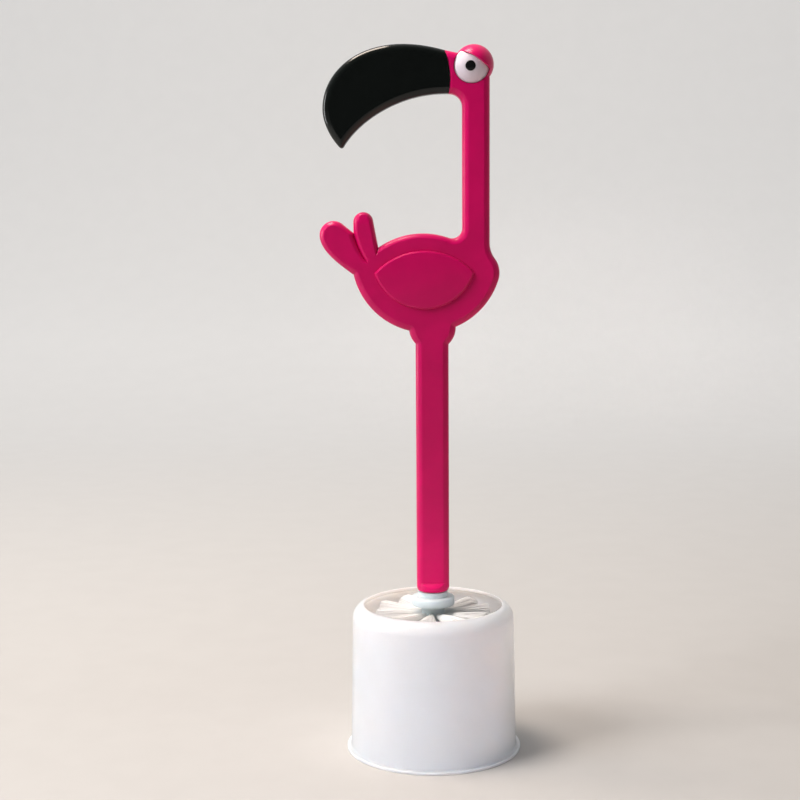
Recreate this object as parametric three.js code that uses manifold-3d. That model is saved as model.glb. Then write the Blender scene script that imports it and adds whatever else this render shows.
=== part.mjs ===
// A flamingo-shaped toilet brush standing in its round holder.
//
// Millimetres, +Z up. The origin lies on the surface that the holder stands on, under the brush's
// axis. The bird looks towards -X. Its handle is a flat plate whose two faces look along -Y (front)
// and +Y (back). Outlines are drawn in the X-Z plane, and a plate's height is measured out from the
// parting plane at Y = 0, towards -Y on a front half.
import * as THREE from "three";
import { ConvexGeometry } from "three/addons/geometries/ConvexGeometry.js";
import { mergeVertices } from "three/addons/utils/BufferGeometryUtils.js";
import Module from "manifold-3d";

const wasm = await Module();
wasm.setup();

// ---------------------------------------------------------------- driving dimensions

// The section shared by the handle and the beak.
const PLATE_HALF = 7; // half the plate's thickness
const EDGE_HALF = 3.3; // half the straight side wall
const BEVEL = 3.8; // width of the rounded bevel round each face
const BEVEL_ARC = THREE.MathUtils.degToRad(58); // the bevel stops short of a full round
const BEVEL_STEPS = 2;
const SEAM = 0.06; // each half stops this far short of the parting plane
const WALL = 2.2; // wall of the hollow halves
const CURVE_STEP = 5; // chord length on round stretches of an outline

// The handle's outline.
const LEG_HALF = 10.4;
const LEG_BOTTOM = 100; // cut off inside the collar
const NECK_LEFT = 19.3;
const NECK_RIGHT = 36.4;
const HIP = { x: 0.2, z: 274.5, r: 14.8 };
const BELLY = { x: -3.1, z: 318.3, r: 47.2 };
const BACK = { x: -5.6, z: 284.2, r: 49.2 };
const BREAST_RADIUS = 15;
const BREAST_ANGLE = THREE.MathUtils.degToRad(-17.5); // where the breast leaves the belly
const BREAST_FILLET = 16; // hollow between the breast and the neck
const GAP_FILLET = 6.3; // hollow between the neck and the back
const CHIN_FILLET = 8; // hollow between the neck and the beak
const TAIL_LOW = { x: -61.5, z: 332.9, r: 8.7 };
const TAIL_HIGH = { x: -42.8, z: 340.8, r: 6.2 };
const TAIL_BACK_NOTCH_X = -33.5;
const TAIL_FORK = { x: -48.9, z: 333.8 };
const TAIL_BELLY_NOTCH = { x: -49.6, z: 308.2 };
const GROOVE_END = { x: -40.4, z: 315.2 }; // where the groove between the tail feathers runs out

// Head, eyes and beak.
const BALL = { x: 26.7, z: 437.4, r: 12.4, half: 12.8 }; // the round head, slightly deeper than wide
const HEAD_PLATE_RADIUS = 11; // the flat head stops inside the ball
const EYE = { x: 25.1, z: 436.6, r: 10.9, top: 10.9, base: 6, floor: 3.8 };
const EYE_WALL = 1.8;
const EYE_GAP = 0.3;
const POCKET_FLOOR = 3.5;
const PUPIL = { x: 24.25, z: 436.1, r: 3.15, low: 9.4, high: 11 };
const LID_SLOPE = 0.26; // how far the lid's edge leans back towards the side of the head
const LID_OFFSET = 0.95; // distance of the lid's edge above the ball's centre, at the side
const LID_WALL = 1.3; // thickness of the lid over the eye
const LID_ANGLE = THREE.MathUtils.degToRad(57.5); // direction the lid lies in, from +X towards +Z
const JOINT_TOP = { x: 8.4, z: 446.1 };
const JOINT_LOW = { x: 10.9, z: 419.5 };
const JOINT_BULGE = { x: 13.45, z: 433.2 };
const JOINT_GAP = 0.12;
const TONGUE = { left: 4, right: 19, low: 425.5, high: 440.5, half: 1.7 };
const TONGUE_GAP = 0.3;

// The raised wing.
const WING = { left: -35.9, right: 26.5, z: 309, top: 322.9, low: 286.2, rise: 1.9, bevel: 1.6 };

// Collar, insert and the stud that screws into it.
const COLLAR = { r: 10.25, low: 104.1, edge: 1.7, high: 107.1, ramp: 109.8 };
const INSERT = { flat: 5.1, low: 106, high: 128, bore: 4.2 };
const INSERT_GAP = 0.2;
const STUD = { r: 3.8, high: 125 };

// Ribs and locating pins inside the handle.
const RIB = 1.8;
const LEG_RIBS = { first: 152, last: 257, count: 5 };
const NECK_RIBS = { first: 345, last: 411, count: 3 };
const PIN = { r: 1.4, boss: 3, reach: 3.4, gap: 0.15 };
const PIN_PLACES = [
  { x: 0, z: 141 },
  { x: 0, z: 218 },
  { x: -22, z: 296 },
  { x: 26, z: 302 },
  { x: -60, z: 330 },
  { x: 27.8, z: 378 },
];

// The brush.
const NECK_RING = { r: 9.5, high: 103.8 };
const FLANGE = { r: 13.8, low: 94.7, high: 100.3 };
const CORE_RADIUS = 7.5;
const CORE_LOW = 15;
const BRISTLE_RADIUS = 37.5;
const TUFTS = 10;
const TUFT_TURN = 9; // degrees from +X to the top ring's first tuft
const RING_TOP = 88.2;
const RING_PITCH = 13;
const RINGS = 6;
const TUFT = { root: 1.7, wide: 7.2, tall: 5.4, start: CORE_RADIUS + 0.3 };
const HOOP = 1.4; // the hidden hoop that joins a ring's tufts
const TIP = { low: 2.3, high: 14.6 };

// The holder.
const FOOT = { r: 56.5, high: 1.9 };
const HOLDER_WALL = 2;
const HOLDER_LOW_RADIUS = 53.7;
const HOLDER_HIGH_RADIUS = 52.1;
const SHOULDER = { r: 9, z: 86.2 };
const MOUTH_RADIUS = 44.5;
const TRAY = { r: 51.2, wall: 1.8, floor: 2, high: 11 };
const HOLDER_SIDES = 40;
const EYE_SIDES = 24;

// ---------------------------------------------------------------- solids

// Merges a geometry's vertices and hands it over as a solid for cutting and joining.
function solid(geometry) {
  const bare = new THREE.BufferGeometry();
  bare.setAttribute("position", geometry.getAttribute("position"));
  bare.setIndex(geometry.index);
  const merged = mergeVertices(bare, 1e-4);
  const corners = [];
  for (let i = 0; i < merged.index.count; i += 3) {
    const [a, b, c] = [0, 1, 2].map((k) => merged.index.getX(i + k));
    if (a !== b && b !== c && c !== a) corners.push(a, b, c);
  }
  const build = (triangles) =>
    new wasm.Manifold(
      new wasm.Mesh({
        numProp: 3,
        vertProperties: new Float32Array(merged.getAttribute("position").array),
        triVerts: new Uint32Array(triangles),
      }),
    );
  const first = build(corners);
  return first.volume() > 0 ? first : build(corners.reverse());
}

// Turns a finished solid back into a three.js geometry with flat-shaded normals.
function toGeometry(shape) {
  const mesh = shape.getMesh();
  const geometry = new THREE.BufferGeometry();
  geometry.setAttribute("position", new THREE.BufferAttribute(mesh.vertProperties, 3));
  geometry.setIndex(new THREE.BufferAttribute(mesh.triVerts, 1));
  geometry.computeVertexNormals();
  return geometry;
}

function box(low, high) {
  const size = high.map((value, axis) => value - low[axis]);
  const middle = high.map((value, axis) => (value + low[axis]) / 2);
  return solid(new THREE.BoxGeometry(...size).translate(...middle));
}

// A round bar along Z.
function barZ(radius, low, high, sides = 20) {
  const bar = new THREE.CylinderGeometry(radius, radius, high - low, sides);
  return solid(bar.rotateX(Math.PI / 2).translate(0, 0, (low + high) / 2));
}

// A round bar along Y, from one distance in front of the parting plane to another.
function barY(place, radius, near, far, sides = 16) {
  const bar = new THREE.CylinderGeometry(radius, radius, far - near, sides);
  return solid(bar.translate(place.x, -(near + far) / 2, place.z));
}

// A solid of revolution about Z. The profile is a list of [radius, z].
function revolve(profile, sides) {
  const points = profile.map(([radius, z]) => new THREE.Vector2(radius, z));
  return solid(new THREE.LatheGeometry(points, sides).rotateX(Math.PI / 2));
}

// The same, about a line along -Y through a place: the profile is a list of [radius, distance].
function revolveY(place, profile, sides) {
  const points = profile.map(([radius, far]) => new THREE.Vector2(radius, far));
  return solid(new THREE.LatheGeometry(points, sides).rotateX(Math.PI).translate(place.x, 0, place.z));
}

// A front half mirrored to the back.
function mirrored(shape) {
  return shape.mirror([0, 1, 0]);
}

// ---------------------------------------------------------------- outlines

function angleTo(circle, point) {
  return Math.atan2(point.z - circle.z, point.x - circle.x);
}

// The crossing of two circles that lies on the given side (+1 right, -1 left).
function crossing(a, b, side) {
  const gap = Math.hypot(b.x - a.x, b.z - a.z);
  const along = (gap * gap + a.r * a.r - b.r * b.r) / (2 * gap);
  const across = Math.sqrt(a.r * a.r - along * along);
  const ux = (b.x - a.x) / gap;
  const uz = (b.z - a.z) / gap;
  const hits = [1, -1].map((turn) => ({
    x: a.x + ux * along - uz * across * turn,
    z: a.z + uz * along + ux * across * turn,
  }));
  return hits.sort((p, q) => side * (q.x - p.x))[0];
}

// Where the straight line from a point touches a circle, as an angle on the circle.
function touchAngle(circle, point, side) {
  const away = Math.hypot(point.x - circle.x, point.z - circle.z);
  return angleTo(circle, point) + side * Math.acos(circle.r / away);
}

function arc(path, circle, from, to, clockwise = false) {
  path.absarc(circle.x, circle.z, circle.r, from, to, clockwise);
}

// Samples a path into a closed loop of points, with round stretches cut into equal chords.
function sampled(path, step = CURVE_STEP) {
  const loop = [];
  for (const curve of path.curves) {
    const straight = curve instanceof THREE.LineCurve;
    const count = straight ? 1 : Math.max(2, Math.ceil(curve.getLength() / step));
    for (let i = 0; i < count; i += 1) {
      const point = curve.getPoint(i / count);
      const last = loop[loop.length - 1];
      if (!last || last.distanceTo(point) > 0.2) loop.push(point);
    }
  }
  if (loop[0].distanceTo(loop[loop.length - 1]) < 0.2) loop.pop();
  return loop;
}

// The beak's free edge, from the top of its joint round the tip to the low end of the joint.
function traceBeak(path) {
  path.bezierCurveTo(-37.7, 459.4, -67.4, 436.5, -67.4, 410.5);
  path.bezierCurveTo(-67.4, 403, -63.5, 394, -57.2, 387.2);
  path.quadraticCurveTo(-55.9, 385.9, -54.5, 387.2);
  path.bezierCurveTo(-46, 401.5, -21, 420.3, JOINT_LOW.x, JOINT_LOW.z);
}

// The whole bird, counter-clockwise from the foot of the leg: up the breast side, round the head
// and the beak, down the inside of the neck, along the back, round the tail and down the belly.
function birdOutline() {
  const breast = {
    x: BELLY.x + (BELLY.r - BREAST_RADIUS) * Math.cos(BREAST_ANGLE),
    z: BELLY.z + (BELLY.r - BREAST_RADIUS) * Math.sin(BREAST_ANGLE),
    r: BREAST_RADIUS,
  };
  const hipRight = crossing(HIP, BELLY, 1);
  const hipLeft = crossing(HIP, BELLY, -1);
  const legRight = HIP.z - Math.sqrt(HIP.r ** 2 - (LEG_HALF - HIP.x) ** 2);
  const legLeft = HIP.z - Math.sqrt(HIP.r ** 2 - (LEG_HALF + HIP.x) ** 2);
  const hollow = { x: NECK_RIGHT + BREAST_FILLET, r: BREAST_FILLET };
  hollow.z = breast.z + Math.sqrt((breast.r + hollow.r) ** 2 - (hollow.x - breast.x) ** 2);
  const gap = { x: NECK_LEFT - GAP_FILLET, r: GAP_FILLET };
  gap.z = BACK.z + Math.sqrt((BACK.r + gap.r) ** 2 - (gap.x - BACK.x) ** 2);
  const chin = { x: NECK_LEFT - CHIN_FILLET, z: JOINT_LOW.z - CHIN_FILLET, r: CHIN_FILLET };
  const head = { x: BALL.x, z: BALL.z, r: HEAD_PLATE_RADIUS };
  const crown = { x: 17.9, z: 444 };
  const nape = head.z - Math.sqrt(head.r ** 2 - (NECK_RIGHT - head.x) ** 2);
  const backNotch = { x: TAIL_BACK_NOTCH_X };
  backNotch.z = BACK.z + Math.sqrt(BACK.r ** 2 - (backNotch.x - BACK.x) ** 2);

  const path = new THREE.Path();
  path.moveTo(-LEG_HALF, LEG_BOTTOM);
  path.lineTo(LEG_HALF, LEG_BOTTOM);
  path.lineTo(LEG_HALF, legRight);
  arc(path, HIP, angleTo(HIP, { x: LEG_HALF, z: legRight }), angleTo(HIP, hipRight));
  arc(path, BELLY, angleTo(BELLY, hipRight), BREAST_ANGLE);
  arc(path, breast, BREAST_ANGLE, angleTo(breast, hollow));
  arc(path, hollow, angleTo(hollow, breast) + 2 * Math.PI, Math.PI, true);
  path.lineTo(NECK_RIGHT, nape);
  arc(path, head, angleTo(head, { x: NECK_RIGHT, z: nape }), angleTo(head, crown));
  path.lineTo(JOINT_TOP.x, JOINT_TOP.z);
  traceBeak(path);
  arc(path, chin, Math.PI / 2, 0, true);
  path.lineTo(NECK_LEFT, gap.z);
  arc(path, gap, 0, angleTo(gap, BACK), true);
  arc(path, BACK, angleTo(BACK, gap), angleTo(BACK, backNotch));
  const forkTop = touchAngle(TAIL_HIGH, TAIL_FORK, -1) + 2 * Math.PI;
  arc(path, TAIL_HIGH, touchAngle(TAIL_HIGH, backNotch, 1), forkTop);
  path.lineTo(TAIL_FORK.x, TAIL_FORK.z);
  arc(path, TAIL_LOW, touchAngle(TAIL_LOW, TAIL_FORK, 1), Math.PI);
  path.bezierCurveTo(-70.2, 323, -58, 314.5, TAIL_BELLY_NOTCH.x, TAIL_BELLY_NOTCH.z);
  arc(path, BELLY, angleTo(BELLY, TAIL_BELLY_NOTCH) + 2 * Math.PI, angleTo(BELLY, hipLeft) + 2 * Math.PI);
  arc(path, HIP, angleTo(HIP, hipLeft), angleTo(HIP, { x: -LEG_HALF, z: legLeft }) + 2 * Math.PI);
  path.lineTo(-LEG_HALF, LEG_BOTTOM);
  return sampled(path);
}

// Everything on the beak's side of its joint with the head, moved towards the beak by a distance.
function beakSide(move) {
  const shape = new THREE.Path();
  const slope = (JOINT_TOP.x - JOINT_LOW.x) / (JOINT_TOP.z - JOINT_LOW.z);
  const beyond = 5;
  shape.moveTo(JOINT_LOW.x - move - slope * beyond, JOINT_LOW.z - beyond);
  shape.lineTo(JOINT_LOW.x - move, JOINT_LOW.z);
  shape.quadraticCurveTo(JOINT_BULGE.x - move, JOINT_BULGE.z, JOINT_TOP.x - move, JOINT_TOP.z);
  shape.lineTo(JOINT_TOP.x - move + slope * beyond, JOINT_TOP.z + beyond);
  shape.lineTo(-90, JOINT_TOP.z + beyond + 1);
  shape.lineTo(-90, JOINT_LOW.z - 60);
  shape.lineTo(-20, JOINT_LOW.z - 60);
  shape.lineTo(JOINT_LOW.x - move - slope * beyond, JOINT_LOW.z - beyond);
  return plate(sampled(shape), [
    [0, -5],
    [0, PLATE_HALF + 5],
  ]);
}

// The wing: two arcs that meet in a point at each end.
function wingOutline() {
  const half = (WING.right - WING.left) / 2;
  const middle = (WING.right + WING.left) / 2;
  const path = new THREE.Path();
  for (const side of [-1, 1]) {
    const rise = side < 0 ? WING.z - WING.low : WING.top - WING.z;
    const radius = (half * half + rise * rise) / (2 * rise);
    const swing = Math.asin(half / radius);
    const facing = (side * Math.PI) / 2;
    const centre = { x: middle, z: WING.z + side * (rise - radius), r: radius };
    arc(path, centre, facing - swing, facing + swing);
  }
  return sampled(path);
}

// Distance from a point to the nearest edge of a loop.
function distanceToLoop(point, loop) {
  const nearest = new THREE.Vector2();
  let best = Infinity;
  loop.forEach((start, i) => {
    const run = loop[(i + 1) % loop.length].clone().sub(start);
    const along = point.clone().sub(start).dot(run) / run.lengthSq();
    nearest.copy(start).addScaledVector(run, THREE.MathUtils.clamp(along, 0, 1));
    best = Math.min(best, nearest.distanceTo(point));
  });
  return best;
}

// Moves a counter-clockwise loop inwards. Points that would cross to the far side of a narrow
// corner are left out, so a sharp tip shortens instead of folding over.
function inset(loop, distance) {
  if (distance === 0) return loop;
  const moved = loop.map((point, i) => {
    const back = point.clone().sub(loop[(i + loop.length - 1) % loop.length]).normalize();
    const ahead = loop[(i + 1) % loop.length].clone().sub(point).normalize();
    const mean = back.clone().add(ahead).normalize();
    const stretch = Math.min(2.2, 1 / Math.max(0.2, mean.dot(ahead)));
    return new THREE.Vector2(-mean.y, mean.x).multiplyScalar(distance * stretch).add(point);
  });
  return moved.filter((point) => distanceToLoop(point, loop) > distance * 0.97);
}

// Stacks loops into a closed solid in front of the parting plane. Each level gives how far the
// loop moves in and how far out it lies.
function plate(outline, levels) {
  const positions = [];
  const triangles = [];
  const rows = levels.map(([move, height]) => {
    const loop = inset(outline, move);
    const first = positions.length / 3;
    loop.forEach((point) => positions.push(point.x, -height, point.y));
    return { loop, first, move };
  });
  const add = (corners, outwards) => {
    const [a, b, c] = corners.map((k) => new THREE.Vector2(positions[3 * k], positions[3 * k + 2]));
    const turn = b.clone().sub(a).cross(c.clone().sub(a));
    triangles.push(...(turn > 0 === outwards ? corners : [corners[0], corners[2], corners[1]]));
  };
  const cap = (row, outwards) =>
    THREE.ShapeUtils.triangulateShape(row.loop.slice(), []).forEach((face) =>
      add(face.map((k) => k + row.first), outwards),
    );
  cap(rows[0], false);
  cap(rows[rows.length - 1], true);
  for (let i = 1; i < rows.length; i += 1) {
    const [low, high] = [rows[i - 1], rows[i]];
    const count = low.loop.length;
    if (low.move === high.move) {
      for (let k = 0; k < count; k += 1) {
        const next = (k + 1) % count;
        triangles.push(low.first + k, low.first + next, high.first + next);
        triangles.push(low.first + k, high.first + next, high.first + k);
      }
    } else {
      const widening = high.move < low.move;
      const [outer, inner] = widening ? [high, low] : [low, high];
      const index = (k) => (k < outer.loop.length ? outer.first + k : inner.first + k - outer.loop.length);
      const faces = THREE.ShapeUtils.triangulateShape(outer.loop.slice(), [inner.loop.slice()]);
      faces.forEach((face) => add(face.map(index), !widening));
    }
  }
  const geometry = new THREE.BufferGeometry();
  geometry.setAttribute("position", new THREE.Float32BufferAttribute(positions, 3));
  geometry.setIndex(triangles);
  return solid(geometry);
}

// The levels of a bevelled half plate, from the parting plane to the flat face.
function bevelledLevels() {
  const levels = [[0, SEAM]];
  for (let i = 0; i <= BEVEL_STEPS; i += 1) {
    const angle = (BEVEL_ARC * i) / BEVEL_STEPS;
    const move = (BEVEL * (1 - Math.cos(angle))) / (1 - Math.cos(BEVEL_ARC));
    const rise = ((PLATE_HALF - EDGE_HALF) * Math.sin(angle)) / Math.sin(BEVEL_ARC);
    levels.push([move, EDGE_HALF + rise]);
  }
  return levels;
}

// The hollow inside a half plate: it starts below the parting plane, so that the half stays open.
function hollow() {
  return plate(outline, [
    [WALL, -1],
    [WALL, EDGE_HALF],
    [WALL + BEVEL - 1, PLATE_HALF - WALL],
  ]);
}

const outline = birdOutline();

// Everything in front of the parting plane, past the seam.
const frontSpace = box([-200, -50, -10], [200, -SEAM, 500]);

// ---------------------------------------------------------------- the handle's halves

// The round head, or the same shape moved in by a margin.
function ball(margin) {
  const sphere = new THREE.SphereGeometry(1, 24, 14);
  sphere.scale(BALL.r - margin, BALL.half - margin, BALL.r - margin);
  return solid(sphere.translate(BALL.x, 0, BALL.z));
}

// Everything below the slanted plane of the lid's edge, with the plane moved down by a margin.
function belowLid(margin) {
  const reach = 60;
  const block = new THREE.BoxGeometry(reach, reach, reach).translate(0, 0, -reach / 2 - margin);
  block.applyMatrix4(new THREE.Matrix4().makeRotationX(-Math.atan(LID_SLOPE)));
  block.applyMatrix4(new THREE.Matrix4().makeRotationY(Math.PI / 2 - LID_ANGLE));
  const aside = LID_OFFSET * Math.cos(LID_ANGLE);
  const up = LID_OFFSET * Math.sin(LID_ANGLE);
  return solid(block.translate(BALL.x + aside, 0, BALL.z + up));
}

// The space that holds the eye: a round pocket below the lid, and the hollow behind the lid.
function eyeSpace() {
  const pocket = barY(EYE, EYE.r + EYE_GAP, POCKET_FLOOR, 30, EYE_SIDES);
  return pocket.intersect(belowLid(0)).add(eyeDome(EYE_GAP).intersect(ball(LID_WALL)));
}

// The eye's outer shape, grown by a margin: a short cylinder with a shallow dome.
function eyeDome(margin) {
  const rise = EYE.top - EYE.base;
  const radius = (EYE.r ** 2 + rise ** 2) / (2 * rise);
  const sweep = Math.asin(EYE.r / radius);
  const profile = [
    [0, EYE.floor - margin],
    [EYE.r + margin, EYE.floor - margin],
  ];
  const steps = 4;
  for (let i = 0; i <= steps; i += 1) {
    const angle = sweep * (1 - i / steps);
    const far = EYE.top - radius + (radius + margin) * Math.cos(angle);
    profile.push([(radius + margin) * Math.sin(angle), far]);
  }
  profile[profile.length - 1][0] = 0;
  return revolveY(EYE, profile, EYE_SIDES);
}

// The round collar. Its front is cut by a slanted plane that runs up to the leg's flat face.
function collar() {
  const outer = revolve(
    [
      [0, COLLAR.low],
      [COLLAR.r - COLLAR.edge, COLLAR.low],
      [COLLAR.r - COLLAR.edge * 0.3, COLLAR.low + COLLAR.edge * 0.3],
      [COLLAR.r, COLLAR.low + COLLAR.edge],
      [COLLAR.r, COLLAR.ramp],
      [0, COLLAR.ramp],
    ],
    32,
  );
  const reach = 60;
  const slope = Math.atan2(COLLAR.ramp - COLLAR.high, COLLAR.r - PLATE_HALF);
  const block = new THREE.BoxGeometry(reach, reach, reach).translate(0, 0, -reach / 2);
  const belowRamp = solid(block.rotateX(slope).translate(0, -PLATE_HALF + 0.02, COLLAR.ramp));
  return outer.intersect(frontSpace).intersect(belowRamp);
}

// A hexagonal bar along Z whose flats face front and back.
function hexBar(flat, low, high) {
  const corner = flat / Math.cos(Math.PI / 6);
  const bar = new THREE.CylinderGeometry(corner, corner, high - low, 6);
  return solid(bar.rotateX(Math.PI / 2).rotateZ(Math.PI / 6).translate(0, 0, (low + high) / 2));
}

// The groove between the two tail feathers: deep at the fork and running out on the body.
function tailGroove() {
  const out = PLATE_HALF + 0.05;
  const corners = [
    new THREE.Vector3(TAIL_FORK.x - 4.4, -out, TAIL_FORK.z + 0.6),
    new THREE.Vector3(TAIL_FORK.x + 2.8, -out, TAIL_FORK.z + 1.4),
    new THREE.Vector3(TAIL_FORK.x - 0.4, -out, TAIL_FORK.z + 6),
    new THREE.Vector3(TAIL_FORK.x - 0.4, -EDGE_HALF - 0.4, TAIL_FORK.z + 2),
    new THREE.Vector3(GROOVE_END.x, -out, GROOVE_END.z),
  ];
  return solid(new ConvexGeometry(corners));
}

function ribs() {
  const bars = [];
  for (const [run, left, right] of [
    [LEG_RIBS, -LEG_HALF, LEG_HALF],
    [NECK_RIBS, NECK_LEFT, NECK_RIGHT],
  ]) {
    for (let i = 0; i < run.count; i += 1) {
      const z = run.first + ((run.last - run.first) * i) / (run.count - 1);
      bars.push(box([left, -PLATE_HALF, z - RIB / 2], [right, 2, z + RIB / 2]));
    }
  }
  bars.push(box([-60, -PLATE_HALF, 285], [60, 2, 285 + RIB]));
  bars.push(box([-RIB / 2, -PLATE_HALF, 285], [RIB / 2, 2, 340]));
  return bars.reduce((sum, bar) => sum.add(bar));
}

function cavity() {
  const solidHead = box([-20, -20, 414], [60, 5, 460]);
  const solidFoot = box([-20, -20, 100], [20, 5, INSERT.high + 3]);
  return hollow().subtract(ribs()).subtract(solidHead).subtract(solidFoot);
}

function shellBody() {
  const wing = plate(wingOutline(), [
    [0, PLATE_HALF - 1],
    [0, PLATE_HALF],
    [WING.bevel, PLATE_HALF + WING.rise],
  ]);
  const slot = box(
    [TONGUE.left, -TONGUE.half - TONGUE_GAP, TONGUE.low - TONGUE_GAP],
    [TONGUE.right + TONGUE_GAP, 2, TONGUE.high + TONGUE_GAP],
  );
  const socket = hexBar(INSERT.flat + INSERT_GAP, INSERT.low - INSERT_GAP, INSERT.high + INSERT_GAP);
  const entry = barZ(STUD.r + 0.6, COLLAR.low - 5, INSERT.low);
  return plate(outline, bevelledLevels())
    .subtract(beakSide(0))
    .subtract(box([-20, -20, 90], [20, 5, COLLAR.high - 0.5]))
    .add(collar())
    .subtract(cavity())
    .add(wing)
    .subtract(tailGroove())
    .add(ball(0).intersect(frontSpace))
    .subtract(eyeSpace())
    .subtract(slot)
    .subtract(socket)
    .subtract(entry);
}

function frontShell() {
  let shell = shellBody();
  for (const place of PIN_PLACES) {
    shell = shell.add(barY(place, PIN.boss, SEAM, PLATE_HALF - 1, 12));
    shell = shell.subtract(barY(place, PIN.r + PIN.gap, -1, PIN.reach + 0.4, 12));
  }
  return shell;
}

function backShell() {
  let shell = shellBody();
  for (const place of PIN_PLACES) {
    shell = shell.add(barY(place, PIN.r, -PIN.reach, PLATE_HALF - 1, 12));
  }
  return mirrored(shell);
}

// ---------------------------------------------------------------- beak, eyes and insert

function beakHalf() {
  const tongue = box([TONGUE.left, -TONGUE.half, TONGUE.low], [TONGUE.right, -SEAM, TONGUE.high]);
  const room = hollow().intersect(beakSide(JOINT_GAP + WALL));
  return plate(outline, bevelledLevels()).intersect(beakSide(JOINT_GAP)).subtract(room).add(tongue);
}

// A hollow white cap, trimmed to fit behind the lid, with a blind hole for the pupil.
function eye() {
  const room = EYE.r - EYE_WALL;
  const inside = revolveY(
    EYE,
    [
      [0, EYE.floor - 1],
      [room, EYE.floor - 1],
      [room, EYE.base - 0.4],
      [room * 0.5, EYE.top - 4],
      [0, EYE.top - 3.5],
    ],
    EYE_SIDES,
  );
  const seat = barY(PUPIL, PUPIL.r + 0.1, PUPIL.low - 0.1, 20, 16);
  const clear = belowLid(EYE_GAP).add(ball(LID_WALL + EYE_GAP));
  return eyeDome(0).intersect(clear).subtract(inside).subtract(seat);
}

function pupil() {
  const edge = 0.25;
  const profile = [
    [0, PUPIL.low],
    [PUPIL.r, PUPIL.low],
    [PUPIL.r, PUPIL.high - edge],
    [PUPIL.r - edge, PUPIL.high],
    [0, PUPIL.high],
  ];
  return revolveY(PUPIL, profile, 16);
}

function threadedInsert() {
  return hexBar(INSERT.flat, INSERT.low, INSERT.high).subtract(
    barZ(INSERT.bore, INSERT.low - 5, INSERT.high + 5),
  );
}

// ---------------------------------------------------------------- the brush

function brushCore() {
  return revolve(
    [
      [0, CORE_LOW],
      [CORE_RADIUS - 2.5, CORE_LOW],
      [CORE_RADIUS, CORE_LOW + 2.5],
      [CORE_RADIUS, FLANGE.low],
      [FLANGE.r - 0.8, FLANGE.low],
      [FLANGE.r, FLANGE.low + 0.8],
      [FLANGE.r, FLANGE.high - 1.6],
      [FLANGE.r - 1.6, FLANGE.high],
      [NECK_RING.r, FLANGE.high],
      [NECK_RING.r, NECK_RING.high - 0.5],
      [NECK_RING.r - 0.5, NECK_RING.high],
      [STUD.r, NECK_RING.high],
      [STUD.r, STUD.high - 1.2],
      [STUD.r - 1.2, STUD.high],
      [0, STUD.high],
    ],
    20,
  );
}

// One tuft: a bundle that leaves the core narrow and opens out to the brush's radius.
function tuft(z, turn) {
  const sides = 6;
  const sections = [
    [TUFT.start, TUFT.root, TUFT.root],
    [BRISTLE_RADIUS, TUFT.wide, TUFT.tall],
  ];
  const positions = [];
  const triangles = [];
  const put = (radius, aside, up) => {
    const around = turn + Math.asin(aside / radius);
    positions.push(radius * Math.cos(around), radius * Math.sin(around), z + up);
  };
  sections.forEach(([radius, wide, tall]) => {
    for (let i = 0; i < sides; i += 1) {
      const angle = (2 * Math.PI * i) / sides;
      put(radius, wide * Math.cos(angle), tall * Math.sin(angle));
    }
  });
  const ends = [0, (sections.length - 1) * sides];
  put(TUFT.start, 0, 0);
  put(BRISTLE_RADIUS, 0, 0);
  const hub = sections.length * sides;
  for (let i = 0; i < sides; i += 1) {
    const next = (i + 1) % sides;
    for (let row = 0; row < sections.length - 1; row += 1) {
      const [low, high] = [row * sides, (row + 1) * sides];
      triangles.push(low + i, low + next, high + next, low + i, high + next, high + i);
    }
    triangles.push(ends[0] + next, ends[0] + i, hub);
    triangles.push(ends[1] + i, ends[1] + next, hub + 1);
  }
  const geometry = new THREE.BufferGeometry();
  geometry.setAttribute("position", new THREE.Float32BufferAttribute(positions, 3));
  geometry.setIndex(triangles);
  return solid(geometry);
}

function tuftAngle(ring, k) {
  return THREE.MathUtils.degToRad(TUFT_TURN + (360 * (k + (ring % 2) / 2)) / TUFTS);
}

// A lower ring of tufts, joined by a thin hoop round the core.
function bristleRing(ring) {
  const z = RING_TOP - RING_PITCH * ring;
  let shape = revolve(
    [
      [TUFT.start, z - HOOP],
      [TUFT.start + HOOP, z - HOOP],
      [TUFT.start + HOOP, z + HOOP],
      [TUFT.start, z + HOOP],
      [TUFT.start, z - HOOP],
    ],
    2 * TUFTS,
  ).rotate([0, 0, TUFT_TURN]);
  for (let k = 0; k < TUFTS; k += 1) {
    shape = shape.add(tuft(z, tuftAngle(ring, k)));
  }
  return shape;
}

// The tufts on the end of the core, which the brush stands on.
function bristleTip() {
  return revolve(
    [
      [0, TIP.low],
      [22, TIP.low],
      [30, TIP.low + 3],
      [33, TIP.low + 7],
      [31, TIP.high - 2],
      [8, TIP.high],
      [0, TIP.high],
    ],
    24,
  );
}

// ---------------------------------------------------------------- the holder

function shoulderArc(radius, steps) {
  const centre = HOLDER_HIGH_RADIUS - SHOULDER.r;
  const end = Math.acos((MOUTH_RADIUS + 0.3 - centre) / radius);
  const points = [];
  for (let i = 0; i <= steps; i += 1) {
    const angle = (end * i) / steps;
    points.push([centre + radius * Math.cos(angle), SHOULDER.z + radius * Math.sin(angle)]);
  }
  return points;
}

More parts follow.
